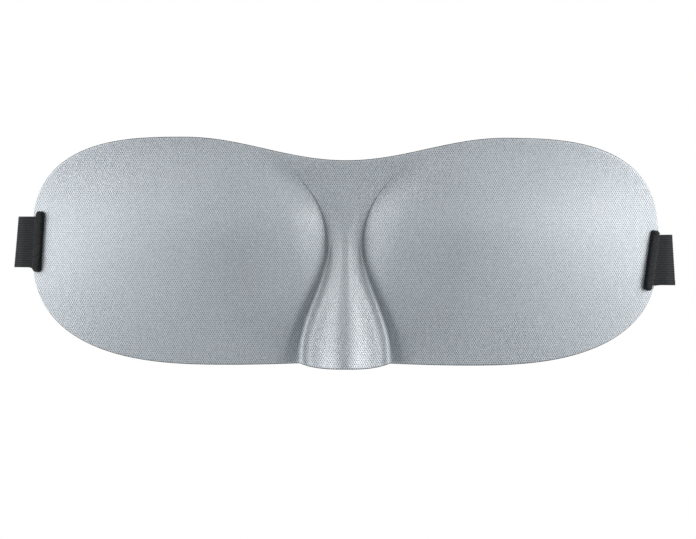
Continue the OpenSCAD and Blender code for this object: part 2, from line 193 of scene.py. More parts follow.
def new_group(name, kind, inputs, outputs):
    """A node group with named sockets: returns the tree, its inputs by name and its output node."""
    tree = bpy.data.node_groups.new(name, kind)
    for label, socket_kind, default in inputs:
        made = tree.interface.new_socket(name=label, in_out="INPUT", socket_type=socket_kind)
        if default is not None:
            made.default_value = default
    for label, socket_kind in outputs:
        tree.interface.new_socket(name=label, in_out="OUTPUT", socket_type=socket_kind)
    start = tree.nodes.new("NodeGroupInput")
    end = tree.nodes.new("NodeGroupOutput")
    return tree, {s.name: s for s in start.outputs if s.name}, end


# ---------------------------------------------------------------- shader groups

def cloth_group():
    """Crossed threads at a slant: their height, and a colour shade from it: painted shade, darker where the
    threads lie lower, with a fine random speckle that on the satin also stands in for its glints (painted
    glint).
    """
    under_share = 0.8           # height of the threads that pass beneath
    mid_height = 0.3
    # how strongly the painted shade between the threads and the speckle tint the colour
    painted_shade_contrast, speckle_and_glint_contrast = 0.5, 1.5
    tree, given, end = new_group("crossed_threads", "ShaderNodeTree", [
        ("Position", "NodeSocketVector", None),
        ("Pitch", "NodeSocketFloat", 0.6 * MM),
        ("Slant", "NodeSocketFloat", 1.0),
        ("Unevenness", "NodeSocketFloat", 0.5),
    ], [("Height", "NodeSocketFloat"), ("Shade", "NodeSocketFloat")])
    wobble = noise(tree, given["Position"], 160.0, 3.0)
    shift = times(tree, centred(tree, wobble), given["Unevenness"])
    place = add(tree, "ShaderNodeSeparateXYZ", {0: given["Position"]})
    across = divided(tree, place.outputs[0], given["Pitch"])
    up = times(tree, divided(tree, place.outputs[2], given["Pitch"]), given["Slant"])
    waves = []
    for operation in ("ADD", "SUBTRACT"):
        turns = plus(tree, maths(tree, operation, across, up), shift)
        waves.append(maths(tree, "SINE", times(tree, turns, math.tau)))
    height = maths(tree, "MAXIMUM", waves[0], times(tree, waves[1], under_share))
    tree.links.new(height, end.inputs["Height"])
    # Fine random speckle of lighter and darker tone; on the satin it also stands in for the cloth's glints,
    # so it is partly painted glint.
    speckle_and_glint = noise(tree, given["Position"], 1900.0, 2.0, Roughness=0.65)
    uneven = times(tree, centred(tree, speckle_and_glint), given["Unevenness"])
    # Painted shade: the colour is darker where the threads lie lower, as the weave's own shading would make
    # it.
    painted_thread_shade = times(tree, minus(tree, height, mid_height), painted_shade_contrast)
    tree.links.new(plus(tree, painted_thread_shade, times(tree, uneven, speckle_and_glint_contrast)), end.inputs["Shade"])
    return tree


def drift_group():
    """A slow change of shade over a hand's breadth, as cloth and plastic have."""
    tree, given, end = new_group("slow_drift", "ShaderNodeTree", [
        ("Position", "NodeSocketVector", None),
        ("Size", "NodeSocketFloat", 20 * MM),
    ], [("Shade", "NodeSocketFloat")])
    drift = noise(tree, given["Position"], divided(tree, 1.0, given["Size"]), 3.0)
    tree.links.new(centred(tree, drift), end.inputs["Shade"])
    return tree


def rib_group():
    """Covered elastic seen close: ribs along it and fine crossing picks, from its own layout. Its shade is
    darker in the rib valleys and between the picks, which is painted shade, with random fluff.
    """
    bead_share, ridge_share = 0.45, 0.55
    mid_height = 0.7
    row_offset = 0.5            # each rib's picks start half a pick further on
    tree, given, end = new_group("elastic_picks", "ShaderNodeTree", [
        ("Layout", "NodeSocketVector", None),
        ("Rib", "NodeSocketFloat", 0.86 * MM),
        ("Pick", "NodeSocketFloat", 0.62 * MM),
    ], [("Height", "NodeSocketFloat"), ("Shade", "NodeSocketFloat")])
    place = add(tree, "ShaderNodeSeparateXYZ", {0: given["Layout"]})
    lane = divided(tree, place.outputs[1], given["Rib"])
    offset = times(tree, maths(tree, "FLOOR", lane), row_offset)
    pick = plus(tree, divided(tree, place.outputs[0], given["Pick"]), offset)
    bead = maths(tree, "ABSOLUTE", maths(tree, "SINE", times(tree, pick, math.pi)))
    ridge = maths(tree, "ABSOLUTE", maths(tree, "SINE", times(tree, lane, math.pi)))
    height = plus(tree, times(tree, bead, bead_share), times(tree, ridge, ridge_share))
    tree.links.new(height, end.inputs["Height"])
    fluff = noise(tree, given["Layout"], 1500.0, 3.0)
    # Painted shade: darker where the ribs and picks lie lower, plus random fluff.
    tree.links.new(plus(tree, minus(tree, height, mid_height), centred(tree, fluff)), end.inputs["Shade"])
    return tree


# ---------------------------------------------------------------- materials

def start_material(name, **fixed):
    """A material with a Principled BSDF and plain values on its own sockets."""
    material = bpy.data.materials.new(name)
    material.use_nodes = True
    tree = material.node_tree
    shader = tree.nodes["Principled BSDF"]
    for label, value in fixed.items():
        shader.inputs[label.replace("_", " ")].default_value = value
    return material, tree, shader


def on_object(tree):
    """Places on the object, in its own frame."""
    return add(tree, "ShaderNodeTexCoord").outputs["Object"]


def tinted(tree, colour, *shades):
    """A colour made lighter and darker by shades, each a (socket, amount) pair."""
    total = 1.0
    for shade, amount in shades:
        total = plus(tree, total, times(tree, shade, amount))
    return add(tree, "ShaderNodeVectorMath", {0: colour, 1: total}, operation="MULTIPLY").outputs[0]


def grouped(tree, group, inputs):
    """A placed node group."""
    node = tree.nodes.new(tree.bl_idname.replace("NodeTree", "NodeGroup"))
    node.node_tree = group
    for key, value in inputs.items():
        target = node.inputs[key]
        if isinstance(value, bpy.types.NodeSocket):
            tree.links.new(value, target)
        else:
            target.default_value = value
    return node


def surfaced(tree, shader, colour, roughness, height, lift):
    """Gives a shader its colour and roughness, and raises its surface by a height."""
    bump = add(tree, "ShaderNodeBump", {"Height": height, "Distance": lift, "Strength": 1.0})
    for socket_name, value in (("Base Color", colour), ("Roughness", roughness), ("Normal", bump.outputs[0])):
        tree.links.new(value, shader.inputs[socket_name])


def cloth_material(name, colour, pitch, slant, unevenness, weave_shade, lift, rough, **fixed):
    """A fabric of fine crossed threads on object coordinates. Its colour carries the threads' painted shade,
    darker between them, and their speckle, which is partly painted glint.
    """
    drift_amount, gloss_amount = 0.12, -0.25
    material, tree, shader = start_material(name, **fixed)
    place = on_object(tree)
    threads = grouped(tree, CROSSED, {"Position": place, "Pitch": pitch, "Slant": slant,
                                      "Unevenness": unevenness}).outputs
    drift = grouped(tree, DRIFT, {"Position": place, "Size": 24 * MM}).outputs["Shade"]
    # weave_shade sets how much painted shade of the threads goes into the colour.
    surfaced(tree, shader, tinted(tree, colour, (threads["Shade"], weave_shade), (drift, drift_amount)),
             plus(tree, rough, times(tree, threads["Shade"], gloss_amount)), threads["Height"], lift)
    return material


def elastic_material():
    """Black elastic whose ribs and picks follow the strap's own layout, with their painted shade in its
    colour.
    """
    black = (0.0120, 0.0138, 0.0152)
    painted_pick_shade, drift_amount = 2.4, 0.3
    rough, shine = 0.72, 0.12
    material, tree, shader = start_material(
        "ribbed_elastic", Sheen_Weight=0.05, Sheen_Roughness=0.5, Specular_IOR_Level=0.2)
    layout = add(tree, "ShaderNodeAttribute", attribute_name="strap_layout").outputs["Vector"]
    picks = grouped(tree, PICKS, {"Layout": layout, "Rib": RIB_PITCH, "Pick": 0.7 * MM}).outputs
    drift = grouped(tree, DRIFT, {"Position": on_object(tree), "Size": 9 * MM}).outputs["Shade"]
    surfaced(tree, shader, tinted(tree, black, (picks["Shade"], painted_pick_shade), (drift, drift_amount)),
             minus(tree, rough, times(tree, picks["Height"], shine)), picks["Height"], 0.2 * MM)
    return material


def thread_material():
    """Black sewing thread with a twist, darker where its strands lie lower: painted shade."""
    black = (0.0130, 0.0148, 0.0162)
    painted_twist_shade = 2.2
    rough, rough_amount = 0.6, 0.3
    material, tree, shader = start_material(
        "black_thread", Sheen_Weight=0.06, Sheen_Roughness=0.4, Specular_IOR_Level=0.3)
    threads = grouped(tree, CROSSED, {"Position": on_object(tree), "Pitch": 0.25 * MM, "Slant": 1.4,
                                      "Unevenness": 0.6}).outputs
    surfaced(tree, shader, tinted(tree, black, (threads["Shade"], painted_twist_shade)),
             plus(tree, rough, times(tree, threads["Shade"], rough_amount)), threads["Height"], 0.03 * MM)
    return material


def foam_material():
    """Charcoal open-cell foam."""
    charcoal = (0.058, 0.060, 0.064)
    cell_amount, drift_amount = -0.7, 0.4
    rough, rough_amount = 0.86, 0.1
    material, tree, shader = start_material("charcoal_foam", Specular_IOR_Level=0.2)
    place = on_object(tree)
    depth = add(tree, "ShaderNodeTexVoronoi", {"Vector": place, "Scale": 2300.0}).outputs["Distance"]
    drift = grouped(tree, DRIFT, {"Position": place, "Size": 6 * MM}).outputs["Shade"]
    surfaced(tree, shader, tinted(tree, charcoal, (depth, cell_amount), (drift, drift_amount)),
             plus(tree, rough, times(tree, drift, rough_amount)), depth, 0.15 * MM)
    return material


def plastic_material():
    """Moulded black plastic with a faint spark texture and paler, rubbed edges."""
    black = (0.019, 0.0195, 0.021)
    worn_amount, drift_amount = 1.1, 0.35
    rough, grain_rough, worn_rough = 0.33, 0.1, 0.12
    sharp_from, sharp_to = 0.52, 0.6        # how pointed an edge is where its wear starts and is whole
    material, tree, shader = start_material("moulded_black_plastic", Specular_IOR_Level=0.5)
    place = on_object(tree)
    grain = noise(tree, place, 2600.0, 3.0).outputs[0]
    drift = grouped(tree, DRIFT, {"Position": place, "Size": 7 * MM}).outputs["Shade"]
    edges = add(tree, "ShaderNodeNewGeometry").outputs["Pointiness"]
    worn = add(tree, "ShaderNodeMapRange", {0: edges, 1: sharp_from, 2: sharp_to, 3: 0.0, 4: 1.0},
               clamp=True).outputs[0]
    roughness = plus(tree, rough, plus(tree, times(tree, grain, grain_rough), times(tree, worn, worn_rough)))
    surfaced(tree, shader, tinted(tree, black, (worn, worn_amount), (drift, drift_amount)), roughness,
             grain, 0.015 * MM)
    return material


# ---------------------------------------------------------------- the shell's outline and form

shell_low, shell_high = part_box("outer_cover")
CUT_SHARE = 0.9975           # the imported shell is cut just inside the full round
HALF_W = shell_high.x / CUT_SHARE
BROW_H = shell_high.z
BROW_X = 60 * MM
DIP_H = 34.3 * MM
CHEEK_H = 41.7 * MM
CHEEK_X = 45 * MM
CHEEK_LIFT = 0.9 * MM
NOSE_DROP = 2.4 * MM
END_Z = 3 * MM
BROW_ROUND = 2.8             # powers of the outline's round ends
CHEEK_ROUND = 2.65
PANEL_ROUND = 3
WRAP_R = 310 * MM
CUP_H = 11 * MM
CUP_X = 46 * MM
CUP_Z = 6 * MM
BROW_FALL = 0.9              # share of its height that a cup loses from its middle up to the brow
LOW_FALL = 1.4               # powers of a cup's fall downwards, outwards and inwards
OUT_FALL = 1.7
IN_FALL = 1.6
CUP_ROOM = 8 * MM            # least width of a cup's inner side
HIGH_CUP_Z = 12 * MM         # where a cup's inner side starts to turn gentler, and over what height
HIGH_CUP_SPAN = 16 * MM
NOSE_H = 7.5 * MM
WAIST_Z = 3 * MM
BRIDGE_X = 6.6 * MM
PANEL_X = 16.6 * MM
CREASE_TOP = 28 * MM
CREASE_TOP_X = 17.3 * MM
CREASE_MAX_X = 34 * MM
CREASE_FOOT = 3 * MM         # height above the cheek's edge where the panel is widest
CREASE_CURVE = 2.2
RIDGE_START = 2 * MM         # how far below the creases' top the nose ridge starts
RIDGE_CURVE = 1.3
LIP_STEP = 2.5 * MM
LIP_SPAN = 30 * MM
COVER_T = 0.5 * MM
LINING_T = 0.5 * MM
FOAM_T = 2.8 * MM
FOAM_EDGE_T = 0.6 * MM
PRESS_W = 7 * MM
THIN_FOAM = 0.4 * MM     # where a crease presses the foam hardest


def clamp(t):
    return np.clip(t, 0, 1)


def smooth(t):
    u = clamp(t)
    return u * u * (3 - 2 * u)


def lerp(a, b, t):
    return a + (b - a) * t


def hill(t):
    """1 falling to 0 along half a cosine."""
    return (1 + np.cos(np.pi * clamp(t))) / 2


def corner(t, power):
    return np.maximum(0, 1 - clamp(t) ** power) ** (1 / power)


def upper(x):
    a = np.abs(x)
    brow = lerp(BROW_H, DIP_H, hill(a / BROW_X))
    end = END_Z + (BROW_H - END_Z) * corner((a - BROW_X) / (HALF_W - BROW_X), BROW_ROUND)
    return np.where(a < BROW_X, brow, end)


def lower(x):
    a = np.abs(x)
    panel = NOSE_DROP * (1 - clamp(a / PANEL_X) ** PANEL_ROUND)
    cheek = -CHEEK_H + CHEEK_LIFT * hill(a / CHEEK_X) - panel
    end = END_Z - (CHEEK_H + END_Z) * corner((a - CHEEK_X) / (HALF_W - CHEEK_X), CHEEK_ROUND)
    return np.where(a < CHEEK_X, cheek, end)


def crease(z):
    """Half width of the nose panel, between its two creases."""
    below = lerp(PANEL_X, BRIDGE_X, hill((WAIST_Z - z) / (CHEEK_H - CREASE_FOOT + WAIST_Z)))
    rise = clamp((z - WAIST_Z) / (CREASE_TOP - WAIST_Z) / 2) * 2
    above = BRIDGE_X + (CREASE_TOP_X - BRIDGE_X) * rise ** CREASE_CURVE
    return np.where(z < WAIST_Z, below, np.minimum(above, CREASE_MAX_X))


def fall(t, power):
    """0 growing to 1, with a round start."""
    start = 0.15
    low = start ** power
    high = (1 + start ** 2) ** (power / 2)
    return ((t * t + start ** 2) ** (power / 2) - low) / (high - low)


def cup(x, z):
    rise = np.where(z < CUP_Z, 1 - fall(clamp((CUP_Z - z) / (CHEEK_H + CUP_Z)), LOW_FALL),
                    1 - BROW_FALL * (1 - hill((z - CUP_Z) / (BROW_H - CUP_Z))))
    a = np.abs(x)
    outer = 1 - fall((a - CUP_X) / (HALF_W - CUP_X), OUT_FALL)
    inward = (CUP_X - a) / (CUP_X - np.minimum(crease(z), CUP_X - CUP_ROOM))
    inner = lerp(1 - fall(inward, IN_FALL), hill(inward), smooth((z - HIGH_CUP_Z) / HIGH_CUP_SPAN))
    return CUP_H * rise * np.where(a > CUP_X, outer, inner)


def bell(t):
    """1 in the middle, falling to 0 at 1 on both sides."""
    steepness = 4
    tail = math.exp(-steepness)
    return (np.exp(-steepness * t * t) - tail) / (1 - tail)


def nose(x, z):
    ridge = clamp((CREASE_TOP - RIDGE_START - z) / (CREASE_TOP + CHEEK_H)) ** RIDGE_CURVE
    return (cup(crease(z), z) + LIP_STEP * smooth((WAIST_Z - z) / LIP_SPAN)
            + NOSE_H * ridge * bell(np.abs(x) / crease(z)))


def wrap(x):
    return WRAP_R - np.sqrt(WRAP_R ** 2 - x * x)


LIP_W = 0.9 * MM             # width of the drop from the panel's lip to the cup
LOW_Z = 4 * MM               # where the lower panel's form starts, and over what height it grows
LOW_SPAN = 14 * MM
HIGH_Z = 35 * MM             # the same for the form beside the bridge
HIGH_SPAN = 11 * MM
HIGH_ROLL = 1.9 * MM         # how far a cup rolls over into its crease: depth, width and power
HIGH_ROLL_W = 13 * MM
HIGH_ROLL_CURVE = 1.5
LOW_ROLL = 1.3 * MM
LOW_ROLL_W = 9 * MM
PANEL_ROLL_CURVE = 2.3
LINE_DEPTH = 0.2 * MM
LINE_W = 0.35 * MM
TROUGH_SPAN = 38 * MM
TROUGH_DEPTHS = (0.3, 1.7)   # at the waist and at the foot, in millimetres
TROUGH_WIDTHS = (1.7, 2.8)
TROUGH_OFF = 2.1 * MM
INNER_TROUGH = 0.5 * MM
INNER_TROUGH_OFF = -2.6 * MM
INNER_TROUGH_W = 1.6 * MM
LIP_RISE = 0.7 * MM
LIP_TOP = 5 * MM
LIP_GROWTH = 6 * MM
LIP_OFFS = (-1.1, -0.25)     # beside the crease above and below, in millimetres
LIP_LINE_W = 0.4 * MM


def dent(off, place, width):
    """A rounded groove's shape: 1 at its place, falling to 0 on both sides."""
    return np.exp(-((off - place) / width) ** 2)


def crease_detail(x, z):
    """How the cups roll over into their creases, and the lip and trough beside the lower panel."""
    off = np.abs(x) - crease(z)
    below = smooth((LOW_Z - z) / LOW_SPAN)          # share of the lower panel's form at this height
    above = smooth((HIGH_Z - z) / HIGH_SPAN) * (1 - below)
    across = clamp(np.abs(x) / crease(z))
    high_cup = HIGH_ROLL * clamp(1 - off / HIGH_ROLL_W) ** HIGH_ROLL_CURVE
    low_cup = LOW_ROLL * clamp(1 - off / LOW_ROLL_W) ** 2
    cup_side = lerp(high_cup, low_cup, below)
    panel_side = lerp(HIGH_ROLL * across ** PANEL_ROLL_CURVE, LOW_ROLL * clamp(1 + off / LIP_W), below)
    roll = (below + above) * np.where(off > 0, cup_side, panel_side)
    line = LINE_DEPTH * above * dent(off, 0, LINE_W)
    foot = smooth(-z / TROUGH_SPAN)
    groove = dent(off, TROUGH_OFF, lerp(*TROUGH_WIDTHS, foot) * MM)
    trough = lerp(*TROUGH_DEPTHS, foot) * MM * below * groove
    inner_trough = INNER_TROUGH * below * dent(off, INNER_TROUGH_OFF, INNER_TROUGH_W)
    edge = dent(off, lerp(*LIP_OFFS, below) * MM, LIP_LINE_W)
    lip = LIP_RISE * smooth((LIP_TOP - z) / LIP_GROWTH) * edge
    return lip - line - roll - trough - inner_trough


def forward(x, z):
    """How far the face stands towards -Y at a place."""
    off = np.abs(x) - crease(z)
    share = smooth(off / LIP_W)
    panel = nose(np.minimum(np.abs(x), crease(z)), z)
    return lerp(panel, cup(x, z), share) + crease_detail(x, z) - wrap(x)


def edge_distance(x, z):
    return np.minimum(np.minimum(upper(x) - z, z - lower(x)), HALF_W - np.abs(x))


def foam_at(x, z):
    return lerp(FOAM_EDGE_T, FOAM_T, smooth(edge_distance(x, z) / PRESS_W))


def plain_forward(x, z):
    """The form without its fine creases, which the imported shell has."""
    return np.where(np.abs(x) < crease(z), nose(x, z), cup(x, z)) - wrap(x)


ORIGIN = np.zeros(1)
FACE_Y = float((plain_forward(ORIGIN, ORIGIN) - COVER_T - foam_at(ORIGIN, ORIGIN) - LINING_T)[0])


def outer_y(x, z):
    return FACE_Y - forward(x, z)


# ---------------------------------------------------------------- shell layers

NOSE_COLUMNS = 26
LIP_COLUMNS = 14
SIDE_COLUMNS = 92
ROWS = 124
LIP_BAND = 5 * MM
COLUMN_CROWD = 1.5           # how much columns crowd at the creases and the ends, and rows at the edges
SIDE_CROWD = 1.6
ROW_CROWD = 0.6
GRID_REACH = 0.9997          # the last column stands just inside the full round
SETTLE_ROUNDS = 5
CURL_W = 0.9 * MM


def shell_columns(z, reach):
    """The x of each column at heights z, from the left end to the right one."""
    c = crease(z)[..., None]
    u = np.arange(NOSE_COLUMNS) / NOSE_COLUMNS
    inside = c * (1 - (1 - u) ** COLUMN_CROWD)
    k = np.arange(LIP_COLUMNS) / LIP_COLUMNS
    lip = c + LIP_BAND * k ** COLUMN_CROWD
    s = np.arange(SIDE_COLUMNS + 1) / SIDE_COLUMNS
    s = 1 - (1 - s) ** (1 + SIDE_CROWD * smooth(s))
    side = lerp(c + LIP_BAND, reach, s)
    right = np.concatenate([inside, lip, side], axis=-1)
    return np.concatenate([-right[..., :0:-1], right], axis=-1)


def shell_grid(inset):
    """Places (x, z) over the shell, [column][row], drawn in by an inset at the edges."""
    reach = GRID_REACH * HALF_W - inset
    w = np.linspace(-1, 1, ROWS + 1)
    v = (lerp(w, np.sin(np.pi / 2 * w), ROW_CROWD) + 1) / 2
    z = np.zeros((2 * (NOSE_COLUMNS + LIP_COLUMNS + SIDE_COLUMNS) + 1, ROWS + 1))
    for _ in range(SETTLE_ROUNDS):
        columns = np.stack([np.diagonal(shell_columns(z[:, j], reach)) for j in range(ROWS + 1)], axis=1)
        low, high = lower(columns) + inset, upper(columns) - inset
        z = lerp(low, np.maximum(high, low + 0.2 * MM), v[None, :])
    return columns, z


def mesh_object(name, points, faces, material):
    """A smooth mesh object at the origin."""
    mesh = bpy.data.meshes.new(name)
    mesh.from_pydata([tuple(p) for p in points], [], [tuple(f) for f in faces])
    mesh.polygons.foreach_set("use_smooth", [True] * len(mesh.polygons))
    mesh.materials.append(material)
    mesh.validate()
    piece = bpy.data.objects.new(name, mesh)
    bpy.context.scene.collection.objects.link(piece)
    return piece


def closed_sheet(name, front, back, material):
    """A closed layer between two grids of points, the front one towards -Y."""
    columns, rows = front.shape[:2]
    count = columns * rows
    i, j = np.meshgrid(np.arange(columns - 1), np.arange(rows - 1), indexing="ij")
    a = (i * rows + j).ravel()
    quads = np.stack([a, a + rows, a + rows + 1, a + 1], axis=1)
    rim = ([c * rows for c in range(columns)] + [(columns - 1) * rows + r for r in range(1, rows)]
           + [c * rows + rows - 1 for c in range(columns - 2, -1, -1)] + list(range(rows - 2, 0, -1)))
    following = rim[1:] + rim[:1]
    wall = [(b, a, a + count, b + count) for a, b in zip(rim, following)]
    faces = np.concatenate([quads, (quads + count)[:, ::-1], wall])
    points = np.concatenate([front.reshape(-1, 3), back.reshape(-1, 3)])
    return mesh_object(name, points, faces, material)


def rounding(x, z, depth, width):
    """How far a layer's face curls in at its cut edge."""
    return depth * (1 - clamp(edge_distance(x, z) / width)) ** 2


def shell_layer(name, material, front, back, inset=0.0, curl_front=0.0, curl_back=0.0):
    """A layer of the shell. front and back give the depth behind the face at (x, z)."""
    x, z = shell_grid(inset)
    base = outer_y(x, z)
    y_front = base + front(x, z) + rounding(x, z, curl_front, CURL_W)
    y_back = base + back(x, z) - rounding(x, z, curl_back, CURL_W)
    return closed_sheet(name, np.stack([x, y_front, z], axis=-1), np.stack([x, y_back, z], axis=-1), material)


def nothing(x, z):
    return 0 * x


def cover_back(x, z):
    return COVER_T + 0 * x


def foam_back(x, z):
    """The foam takes up the fine creases, down to its thinnest."""
    return COVER_T + np.maximum(foam_at(x, z) + forward(x, z) - plain_forward(x, z), THIN_FOAM)


def lining_back(x, z):
    return foam_back(x, z) + LINING_T


def build_shell():
    """The three layers. Each sheet is cut as wide and as high as the shell's outline."""
    cover = shell_layer("face_fabric", SATIN, nothing, cover_back, inset=0.2 * MM, curl_front=0.3 * MM)
    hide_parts("outer_cover")
    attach(cover, "mask")

    foam = shell_layer("foam_layer", FOAM, cover_back, foam_back, inset=0.1 * MM)
    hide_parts("foam_core")
    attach(foam, "mask")

    lining = shell_layer("skin_lining", LINING, foam_back, lining_back, curl_back=0.32 * MM)
    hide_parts("lining")
    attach(lining, "mask")


# ---------------------------------------------------------------- nose flap

FLAP_X = 21 * MM
FLAP_TOP = 6 * MM
FLAP_LOW = 37 * MM
FLAP_FOAM_T = 1.6 * MM
FLAP_FACING_T = 0.5 * MM
FLAP_GAP = 1 * MM
FLAP_STAND = 5 * MM
FLAP_KNEE = 9 * MM
FLAP_CLEAR = 1.1 * MM        # how far outside the crease the flap's form is taken
FLAP_FALL = 0.15
FLAP_STAND_CURVE = 1.2
FLAP_CORNER = 7 * MM         # how far the flap's lower corners are cut up, and how sharply
FLAP_CORNER_CURVE = 2.5
FLAP_TAPER = 0.72            # width of the flap's top, as a share of its full width
FLAP_TAPER_SPEED = 1.6
FLAP_ROUND_W = 1.6 * MM


def skin_y(x, z):
    return FACE_Y - plain_forward(x, z) + COVER_T + foam_at(x, z) + LINING_T


def flap_drop(z):
    return clamp((FLAP_TOP - z) / (FLAP_TOP + FLAP_LOW))


def flap_front(x, z):
    """Depth of the flap's face towards the lining."""
    a = np.abs(x)
    rim = crease(z) + FLAP_CLEAR
    knee = np.maximum(np.maximum(a, FLAP_KNEE), rim)
    lean = skin_y(rim, z) - FLAP_FALL * np.maximum(0, a - crease(z))
    return np.maximum(skin_y(knee, z), lean) + FLAP_GAP + FLAP_STAND * flap_drop(z) ** FLAP_STAND_CURVE


def build_flap():
    """The flap: foam with a facing, its edge drawn in and rounded."""
    columns, rows = 56, 64
    u = np.sin(np.pi / 2 * np.linspace(-1, 1, columns + 1))[:, None]
    t = ((np.sin(np.pi / 2 * np.linspace(-1, 1, rows + 1)) + 1) / 2)[None, :]
    low = -FLAP_LOW + FLAP_CORNER * np.abs(u) ** FLAP_CORNER_CURVE
    z = lerp(low, FLAP_TOP, t)
    x = u * FLAP_X * lerp(FLAP_TAPER, 1, smooth(FLAP_TAPER_SPEED * flap_drop(z)))
    y = flap_front(x, z)
    for _ in range(3):      # the foam's own thickness softens the fold lines of the form beneath
        y[1:-1] = (y[:-2] + 2 * y[1:-1] + y[2:]) / 4
        y[:, 1:-1] = (y[:, :-2] + 2 * y[:, 1:-1] + y[:, 2:]) / 4
    side = (1 - np.abs(u)) * FLAP_X
    end = np.minimum(t, 1 - t) * (FLAP_TOP + FLAP_LOW)
    near = clamp(np.minimum(side, end) / FLAP_ROUND_W)
    foam_pinch, seam_pinch, facing_pinch = 0.45, 0.12, 1.6
    pinch = (1 - np.sqrt(clamp(1 - (1 - near) ** 2))) * foam_pinch

    def layer(depth):
        return np.stack([x, y + depth, z], axis=-1)

    foam_front = FLAP_FOAM_T * pinch
    seam = FLAP_FOAM_T * (1 - seam_pinch * (1 - near))
    facing_back = FLAP_FOAM_T + FLAP_FACING_T * (1 - pinch * facing_pinch)
    foam = closed_sheet("nose_flap_pad", layer(foam_front), layer(seam), FOAM)
    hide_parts("nose_flap_foam")
    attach(foam, "nose_flap")
    facing = closed_sheet("nose_flap_cloth", layer(seam), layer(facing_back), LINING)
    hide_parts("nose_flap_facing")
    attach(facing, "nose_flap")


# ---------------------------------------------------------------- strap routes

STRAP_W = 19 * MM
STRAP_T = 1.4 * MM
LAP = 3.4 * MM
LAP_GAP = 0.2 * MM
STUB = 6.2 * MM
BACK_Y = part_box("long_strap_back")[1].y - STRAP_T / 2
BACK_X = -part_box("long_strap_back")[0].x
BACK_Z = sum(corner_point.z for corner_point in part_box("long_strap_back")) / 2
LEFT_Z, RIGHT_Z = 3.7 * MM, -2.2 * MM
LEFT_LEAN, RIGHT_LEAN = math.radians(4), math.radians(9)
LEFT_TURN_LEAN, RIGHT_TURN_LEAN = math.radians(5), math.radians(-4)
LEAD_L = 26 * MM
RIBS = 22
RIB_PITCH = STRAP_W / RIBS
RIB_DEPTH = 0.2 * MM

LAP_X = HALF_W - LAP


def plain_outer_y(x):
    at = np.array([x])
    return float((FACE_Y - plain_forward(at, np.array([END_Z])))[0])


END_SLOPE = math.atan((plain_outer_y(HALF_W - 0.2 * MM) - plain_outer_y(LAP_X)) / (LAP - 0.2 * MM))
END_DIR = np.array([math.cos(END_SLOPE), math.sin(END_SLOPE)])
LAP_Y = plain_outer_y(LAP_X) - (STRAP_T / 2 + LAP_GAP) / math.cos(END_SLOPE)
TURN_X = HALF_W + STUB - STRAP_T / 2
STUB_END = np.array([LAP_X, LAP_Y]) + (STUB + LAP - 4 * MM) / math.cos(END_SLOPE) * END_DIR
LEAD_Y = LAP_Y + LEAD_L


def bezier(points, t):
    p = [np.asarray(q, float) for q in points]
    return ((1 - t) ** 3 * p[0] + 3 * (1 - t) ** 2 * t * p[1] + 3 * (1 - t) * t * t * p[2] + t ** 3 * p[3])


TURN_END_Y = STUB_END[1] + 9 * MM
TURN_CURVE = [STUB_END, STUB_END + 3.2 * MM * END_DIR, (TURN_X, STUB_END[1] + 4 * MM), (TURN_X, TURN_END_Y)]
SIDE_CURVE = [(TURN_X, TURN_END_Y), (TURN_X, STUB_END[1] + 46 * MM), (BACK_X + 26 * MM, BACK_Y),
              (BACK_X, BACK_Y)]


def arc(cx, cy, r, start, stop, count=14):
    """Points round part of a circle, in degrees."""
    angles = np.radians(np.linspace(start, stop, count + 1))
    return [(cx + r * math.cos(a), cy + r * math.sin(a)) for a in angles]


def side_route():
    """The plan of one strap's side on the +X side, from its lap to the stretch behind the head."""
    lap = [lerp(np.array([LAP_X, LAP_Y]), STUB_END, k / 6) for k in range(6)]
    turn = [bezier(TURN_CURVE, k / 18) for k in range(18)]
    side = [bezier(SIDE_CURVE, k / 70) for k in range(71)]
    return [np.asarray(p) for p in lap + turn + side]


def cut_route(route, start, stop):
    """The part of a route between two depths, with a point at each cut."""
    kept = [p for p in route if start + 0.2 * MM < p[1] < stop - 0.2 * MM]
    for depth, place in ((start, 0), (stop, len(kept) + 1)):
        for a, b in zip(route, route[1:]):
            if a[1] <= depth <= b[1] and b[1] > a[1]:
                kept.insert(place, lerp(a, b, (depth - a[1]) / (b[1] - a[1])))
                break
    return kept


LEVEL_SHARE = 0.45           # share of the way back over which a strap stays level
LEVEL_Y = float(lerp(LAP_Y, BACK_Y, LEVEL_SHARE))


def strap_height(y, start_z):
    return float(lerp(start_z, BACK_Z, smooth((y - LEVEL_Y) / (BACK_Y - LEVEL_Y))))


# ---------------------------------------------------------------- geometry node trees

def split_position(tree):
    """The X, Y and Z of each point."""
    return add(tree, "ShaderNodeSeparateXYZ", {0: add(tree, "GeometryNodeInputPosition").outputs[0]}).outputs


def shifted(tree, geometry, parts):
    """Geometry moved by parts, a dict from axis number to distance."""
    offset = add(tree, "ShaderNodeCombineXYZ", parts).outputs[0]
    return add(tree, "GeometryNodeSetPosition", {"Geometry": geometry, "Offset": offset}).outputs[0]


def swept(tree, route, outline):
    """A closed mesh with an outline, drawn along a route."""
    return add(tree, "GeometryNodeCurveToMesh", {
        "Curve": route, "Profile Curve": outline, "Fill Caps": True}).outputs[0]


def finish_tree(tree, geometry, material, end):
    """Shades geometry smooth, paints it and puts it out."""
    soft = add(tree, "GeometryNodeSetShadeSmooth", {"Geometry": geometry})
    painted = add(tree, "GeometryNodeSetMaterial", {"Geometry": soft.outputs[0], "Material": material})
    whole = add(tree, "GeometryNodeRealizeInstances", {"Geometry": painted.outputs[0]})
    tree.links.new(whole.outputs[0], end.inputs[0])


